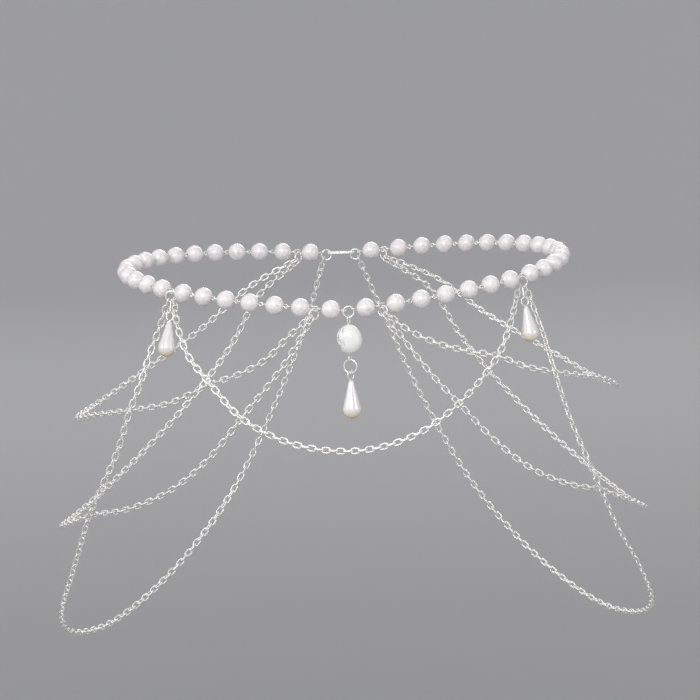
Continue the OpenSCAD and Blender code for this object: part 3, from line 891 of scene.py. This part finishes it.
def make_chains():
    make_chain("swag_links", SIDE_RING[LEFT], SIDE_SWAG_SEAT, SWAG_ROUTE,
               SIDE_RING[RIGHT], SIDE_SWAG_SEAT, ["swag_chain"], seed=11)
    for side, name in SIDE_NAMES.items():
        make_chain("upper_links_" + name, FRONT_RING[side], FRONT_UPPER_SEAT, UPPER_ROUTE[side],
                   BACK_RING[side], BACK_UPPER_SEAT, ["upper_chain_" + name], seed=20 + side)
        make_chain("lower_links_" + name, FRONT_RING[side], FRONT_LOWER_SEAT, LOWER_ROUTE[side],
                   BACK_RING[side], BACK_LOWER_SEAT, ["lower_chain_" + name], seed=30 + side)
        make_chain("long_links_" + name, SIDE_RING[side], SIDE_LONG_SEAT, LONG_ROUTE[side],
                   END_RING[side], END_SEAT, ["long_chain_" + name], seed=40 + side)


# Drops. A drop hangs from the origin along -Z.

DROP_SEGMENTS = 48
# Rows of the cone, between two shares of its length, and rows of the round end
CONE_ROWS = 12
CONE_FROM, CONE_TO = 0.02, 0.97
ROUND_ROWS = 20
# Rounding of the bore's edge and of the tip's
BORE_LIP = 0.05 * MM
TIP_FLAT = 0.25 * MM
TIP_EDGE = 0.06 * MM
TIP_ROUND = 0.08 * MM
# Wire of the drop's eye as seen, as a share of the solid's
EYE_SHARE = 0.95
PEG_POINTS = 4


def drop_body(diameter, length):
    """Teardrop with a drilled tip."""
    r = diameter / 2
    reach = length - r
    tip = TIP_D / 2
    bore = EYE_WIRE / 2 + FIT_GAP
    lean = math.atan2(reach, tip) - math.acos(r / math.hypot(tip, reach))
    outline = [(0, -PEG_L - FIT_GAP), (bore, -PEG_L - FIT_GAP), (bore, -BORE_LIP),
               (bore + BORE_LIP, 0), (tip - TIP_FLAT, 0), (tip - TIP_EDGE, -TIP_ROUND)]
    cone_end = (r * math.cos(lean), r * math.sin(lean) - reach)
    for u in np.linspace(CONE_FROM, CONE_TO, CONE_ROWS):
        outline.append((mix(tip, cone_end[0], u), mix(0, cone_end[1], u)))
    for a in np.linspace(lean, -math.pi / 2, ROUND_ROWS):
        outline.append((r * math.cos(a), r * math.sin(a) - reach))
    outline[-1] = (0, -length)
    verts, faces = lathe(outline, DROP_SEGMENTS)
    return verts, [f[::-1] for f in faces]


def drop_eye():
    """Open upright loop on a peg that ends in the drop."""
    loop = open_loop(EYE_H, EYE_W, EYE_WIRE, 1)
    loop = np.column_stack([loop[:, 2], loop[:, 1], loop[:, 0] - EYE_H / 2])
    peg_top = -EYE_H / 2 - BEAD_GAP
    peg = [(0, 0, z) for z in np.linspace(peg_top - PEG_L, peg_top, PEG_POINTS)]
    return sweep(np.vstack([peg, loop]), EYE_WIRE / 2 * EYE_SHARE, RING_SIDES)


def hold(a, b):
    """Distance between the middle lines of two wires, one hung in the other."""
    return (a + b) / 2 + LINK_GAP


def pose(origin, turn=0):
    """4x4 matrix of an upright frame at origin, turned about Z."""
    m = np.eye(4)
    m[:3, :3] = np.array(Matrix.Rotation(math.radians(turn), 3, "Z"))
    m[:3, 3] = origin
    return m


EYE_TO_DROP = EYE_H / 2 + BEAD_GAP
PENDANT_TOP = CENTER_RING.seat(0)
DROP_RING_R = (DROP_RING_D - RING_WIRE) / 2
OVAL_TOP_LOOP = (OVAL_TOP_LOOP_H - OVAL_WIRE) / 2 - hold(RING_WIRE, OVAL_WIRE)
OVAL_CENTER = OVAL_TOP_LOOP + (OVAL_TOP_LOOP_H + OVAL_H) / 2 + BEAD_GAP
OVAL_LOW_LOOP = OVAL_CENTER + (OVAL_H + OVAL_LOW_LOOP_H) / 2 + BEAD_GAP
DROP_RING_TOP = OVAL_LOW_LOOP + (OVAL_LOW_LOOP_H - OVAL_WIRE) / 2 - hold(RING_WIRE, OVAL_WIRE)
PENDANT_EYE = DROP_RING_TOP + 2 * DROP_RING_R + (EYE_H - EYE_WIRE) / 2 - hold(RING_WIRE, EYE_WIRE)


def stood_up(verts):
    """A wire made along X, stood along Z."""
    return np.column_stack([verts[:, 1], verts[:, 2], verts[:, 0]])


def in_pendant(verts, depth, turn=0):
    """Moved to a depth below the point where the pendant hangs."""
    return moved(verts, pose(PENDANT_TOP - depth * UP, turn))


OVAL_ROWS, OVAL_SEGMENTS = 40, 64
# The bead's unevenness: its share of the solid's width, its lumps, its flatter faces, its lean
OVAL_FILL = 0.985
OVAL_LUMP = 0.025
OVAL_FACE = 0.10
OVAL_FACE_POWER = 6
OVAL_LEAN = 0.7 * MM


def waves(x, z):
    """Two slow waves over the bead, from -2 to 2."""
    return math.sin(2.1 * z + 1.3 * x + 0.5) + math.sin(3.3 * x - 2 * z)


def oval_bead_body():
    """Flattened oval bead, a little uneven and leaning, drilled along Z."""
    bore = OVAL_WIRE / 2 + FIT_GAP
    verts, faces = [], []
    top = math.asin(bore / (OVAL_W / 2))
    for a in np.linspace(top, math.pi - top, OVAL_ROWS):
        for j in range(OVAL_SEGMENTS):
            b = 2 * math.pi * j / OVAL_SEGMENTS
            x, y, z = math.sin(a) * math.cos(b), math.sin(a) * math.sin(b), math.cos(a)
            full = math.sin(a) ** 2
            lump = 1 + full * OVAL_LUMP * waves(x, z)
            face = 1 - OVAL_FACE * full * abs(y) ** OVAL_FACE_POWER
            verts.append((OVAL_W / 2 * OVAL_FILL * x * lump - OVAL_LEAN * z * full,
                          OVAL_T / 2 * OVAL_FILL * y * face * lump, OVAL_H / 2 * z))
    # Bands from row to row, and last the bore from the first row to the last
    starts = [i * OVAL_SEGMENTS for i in range(OVAL_ROWS)]
    for low, high in [*zip(starts[1:], starts), (0, starts[-1])]:
        for j in range(OVAL_SEGMENTS):
            k = (j + 1) % OVAL_SEGMENTS
            faces.append([low + j, low + k, high + k, high + j])
    return np.array(verts), faces


def make_pendant():
    half_shank = OVAL_H / 2 + BEAD_GAP
    verts, faces = pin((OVAL_LOW_LOOP_H, OVAL_LOOP_W, 0), (OVAL_TOP_LOOP_H, OVAL_LOOP_W, 0),
                       half_shank, OVAL_WIRE)
    verts = in_pendant(stood_up(verts), OVAL_CENTER, OVAL_LOOP_TURN)
    new_piece("oval_bead_pin", verts, faces, SILVER, "pendant", "silver", ["oval_pin"])
    verts, faces = oval_bead_body()
    new_piece("oval_stone", in_pendant(verts, OVAL_CENTER), faces, STONE,
              "pendant", "stone", ["oval_bead"])
    verts, faces = ring_wire(DROP_RING_D, DROP_RING_CUT)
    new_piece("jump_drop_ring", in_pendant(verts, DROP_RING_TOP + DROP_RING_R, DROP_RING_TURN),
              faces, SILVER, "drop_loop", "silver", ["drop_ring"])
    verts, faces = drop_eye()
    new_piece("pendant_drop_eye", in_pendant(verts, PENDANT_EYE, EYE_TURN), faces, SILVER,
              "drop", "silver", ["pendant_eye"])
    verts, faces = drop_body(DROP_D, DROP_L)
    verts = in_pendant(verts, PENDANT_EYE + EYE_TO_DROP)
    material = drop_material("pendant_pearl", verts[:, 2].max(), verts[:, 2].min())
    new_piece("pendant_drop_pearl", verts, faces, material, "drop", "drop_pearl", ["pendant_drop"])


SIDE_LINK_CENTER = (SIDE_LINK_L - LINK_WIRE) / 2 - hold(RING_WIRE, LINK_WIRE)
SIDE_EYE = (SIDE_LINK_CENTER + (SIDE_LINK_L - LINK_WIRE + EYE_H - EYE_WIRE) / 2
            - hold(LINK_WIRE, EYE_WIRE))


def make_side_drop(side):
    name = SIDE_NAMES[side]
    ring = SIDE_RING[side]
    lean = math.radians(SIDE_DROP_LEAN)
    up = math.cos(lean) * UP - math.sin(lean) * outward(ring.center)
    x = unit(np.cross(np.cross(up, ring.across), up))
    place = np.eye(4)
    place[:3, 0], place[:3, 1], place[:3, 2] = x, np.cross(up, x), up
    place[:3, 3] = ring.seat(0)

    def below(verts, depth):
        return moved(verts - (0, 0, depth), place)

    path = oval_path(SIDE_LINK_L, LINK_W, LINK_WIRE, SIDE_LINK_POINTS)
    verts, faces = sweep(path, LINK_WIRE / 2, RING_SIDES, closed=True)
    new_piece("side_drop_link_" + name, below(stood_up(verts), SIDE_LINK_CENTER), faces, SILVER,
              "root", "silver", ["side_link_" + name])
    verts, faces = drop_eye()
    new_piece("side_drop_eye_" + name, below(verts, SIDE_EYE), faces, SILVER,
              "root", "silver", ["side_eye_" + name])
    verts, faces = drop_body(SIDE_DROP_D, SIDE_DROP_L)
    verts = below(verts, SIDE_EYE + EYE_TO_DROP)
    material = drop_material("side_pearl_" + name, verts[:, 2].max(), verts[:, 2].min())
    new_piece("side_drop_pearl_" + name, verts, faces, material, "root", "drop_pearl",
              ["side_drop_" + name])


make_pearls()
make_pins()
make_rings()
make_chains()
make_pendant()
for side in (LEFT, RIGHT):
    make_side_drop(side)

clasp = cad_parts["clasp"]
clasp.data.materials.clear()
clasp.data.materials.append(SILVER)


# Studio: a plain pale floor and soft light

FLOOR_Z = -250 * MM
FLOOR_R = 3.2
SWEEP_R = 1.4
WALL_TOP = 1.8
FLOOR_COLOR = (0.63, 0.63, 0.64, 1)
FLOOR_ROUGHNESS = 0.9
FLOOR_SEGMENTS = 96
SWEEP_ROWS = 25
WORLD_COLOR = (0.82, 0.82, 0.83, 1)
WORLD_STRENGTH = 0.32
LIGHT_AIM = (0, 0, -60 * MM)
# Lights that pass over the floor: place, size, and power in watts
KEY_LIGHTS = {
    "key": ((-0.6, -2.25, 0.95), (1.8, 1.4), 35),
    "fill_right": ((1.9, -1.2, 0.5), (1.2, 1.2), 9),
    "fill_left": ((-1.9, -0.7, 0.5), (1.2, 1.2), 7),
    "back": ((0.5, 2.2, 1.2), (1.8, 1.4), 20),
}
TOP_LIGHT = ((0, 0.2, 2.6), (3.5, 3.5), 12)
# Lights round the part that shine out on the wall
WALL_LIGHTS = 4
WALL_LIGHT_R = 1.4
WALL_LIGHT_Z = 2.4
WALL_LIGHT_SIZE = (2.4, 0.8)
WALL_LIGHT_POWER = 27
WALL_AIM_Z = 0.3


def make_floor():
    """Round pale floor that turns up into a wall all the way round. Returns a collection for
    lights: one that names it passes over the floor, so that the floor's tone stays even."""
    outline = [(0, FLOOR_Z)]
    for a in np.linspace(0, math.pi / 2, SWEEP_ROWS):
        outline.append((FLOOR_R + SWEEP_R * math.sin(a), FLOOR_Z + SWEEP_R * (1 - math.cos(a))))
    outline.append((FLOOR_R + SWEEP_R, WALL_TOP))
    verts, faces = lathe(outline, FLOOR_SEGMENTS)
    mesh = bpy.data.meshes.new("floor")
    mesh.from_pydata(verts.tolist(), [], [f[::-1] for f in faces])
    mesh.shade_smooth()
    floor = bpy.data.objects.new("floor", mesh)
    bpy.context.scene.collection.objects.link(floor)
    material, _, shader = new_material("floor")
    shader.inputs["Base Color"].default_value = FLOOR_COLOR
    shader.inputs["Roughness"].default_value = FLOOR_ROUGHNESS
    mesh.materials.append(material)
    spared = bpy.data.collections.new("floor_spared")
    spared.objects.link(floor)
    spared.collection_objects[0].light_linking.link_state = "EXCLUDE"
    return spared


def make_light(name, place, size, power, aim=LIGHT_AIM, spared=None):
    data = bpy.data.lights.new(name, "AREA")
    data.shape = "RECTANGLE"
    data.size, data.size_y = size
    data.energy = power
    light = bpy.data.objects.new(name, data)
    light.location = place
    light.visible_camera = False
    light.light_linking.receiver_collection = spared
    light.rotation_euler = (Vector(aim) - Vector(place)).to_track_quat("-Z", "Y").to_euler()
    bpy.context.scene.collection.objects.link(light)


def make_world():
    world = bpy.data.worlds.new("studio")
    world.use_nodes = True
    background = world.node_tree.nodes["Background"]
    background.inputs["Color"].default_value = WORLD_COLOR
    background.inputs["Strength"].default_value = WORLD_STRENGTH
    bpy.context.scene.world = world


def make_lights(spared):
    for name, (place, size, power) in KEY_LIGHTS.items():
        make_light(name, place, size, power, spared=spared)
    make_light("top", *TOP_LIGHT)
    wall_r = FLOOR_R + SWEEP_R
    for i in range(WALL_LIGHTS):
        a = 2 * math.pi * i / WALL_LIGHTS
        make_light(f"wall_{i}",
                   (WALL_LIGHT_R * math.sin(a), WALL_LIGHT_R * math.cos(a), WALL_LIGHT_Z),
                   WALL_LIGHT_SIZE, WALL_LIGHT_POWER,
                   aim=(wall_r * math.sin(a), wall_r * math.cos(a), WALL_AIM_Z))


floor_spared = make_floor()
make_world()
make_lights(floor_spared)
bpy.context.scene.view_settings.view_transform = "Standard"
